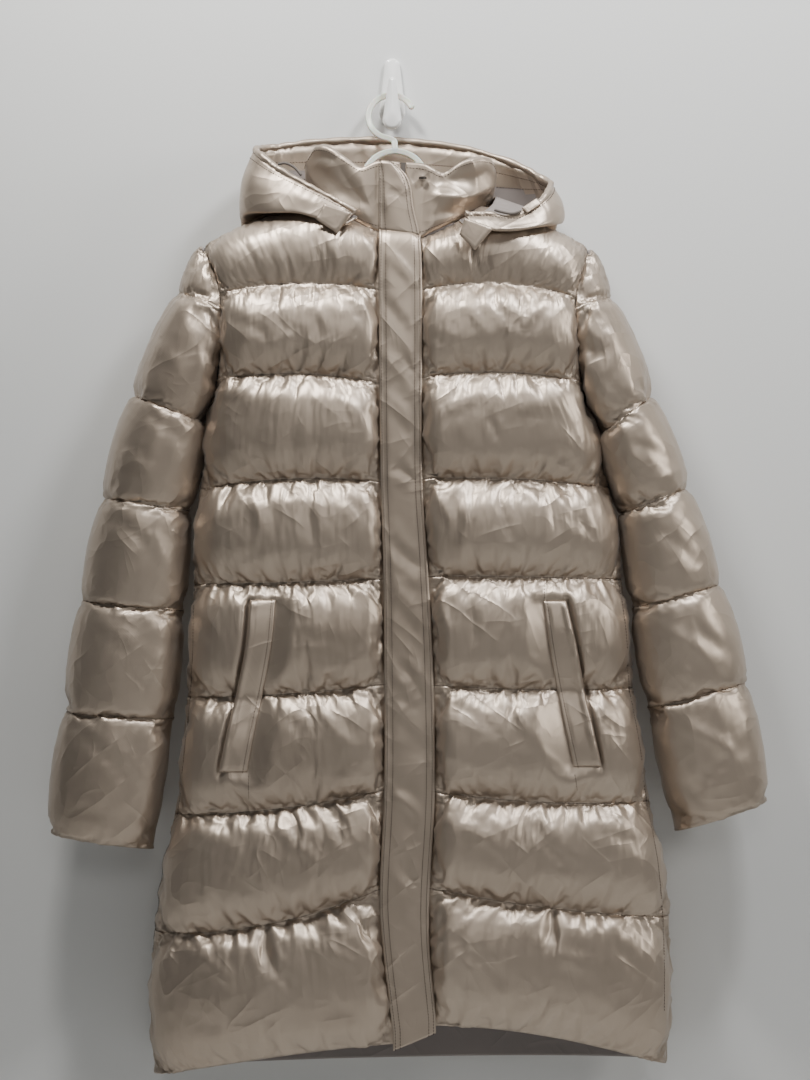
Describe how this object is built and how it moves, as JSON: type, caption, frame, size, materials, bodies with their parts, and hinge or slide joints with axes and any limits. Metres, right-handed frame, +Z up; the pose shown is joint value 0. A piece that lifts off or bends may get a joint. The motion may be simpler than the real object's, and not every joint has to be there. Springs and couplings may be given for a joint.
{
  "type": "long puffer coat on a hanger and wall hook",
  "caption": "Long quilted puffer coat in lustrous taupe nylon, with hood, stand collar, covered zip and slanted pockets, on a plastic hanger that hangs on a wall hook.",
  "frame": {"origin": "middle of the wall hook's back face, in the wall's plane", "axes": "+Z up; +Y into the wall, so the coat's front faces -Y; +X to the right of a viewer who faces the front"},
  "size_m": [0.8034, 0.1515, 1.146],
  "materials": {
    "shell": "lustrous coated nylon, softly metallic taupe",
    "lining": "matt mauve grey woven lining",
    "thread": "dark brown sewing thread",
    "cord": "dark braided drawcord",
    "zip": "moulded zip on dark tape",
    "snap": "dark enamelled snap",
    "hanger": "translucent cream plastic",
    "hook": "glossy white plastic"
  },
  "bodies": {
    "root": {"front_left": "shell", "front_right": "shell", "back": "shell", "sleeve_left": "shell", "sleeve_right": "shell", "collar": "shell", "flap": "shell", "pocket_welt_left": "shell", "pocket_welt_right": "shell", "hood_left": "shell", "hood_centre": "shell", "hood_right": "shell", "hood_edge": "shell", "hood_tab_left": "shell", "hood_tab_right": "shell", "hood_eyelet": "shell", "hood_cord_left": "cord", "hood_cord_right": "cord", "zip": "zip", "collar_snap": "snap", "hanger": "hanger", "wall_hook": "hook"}
  },
  "joints": []
}
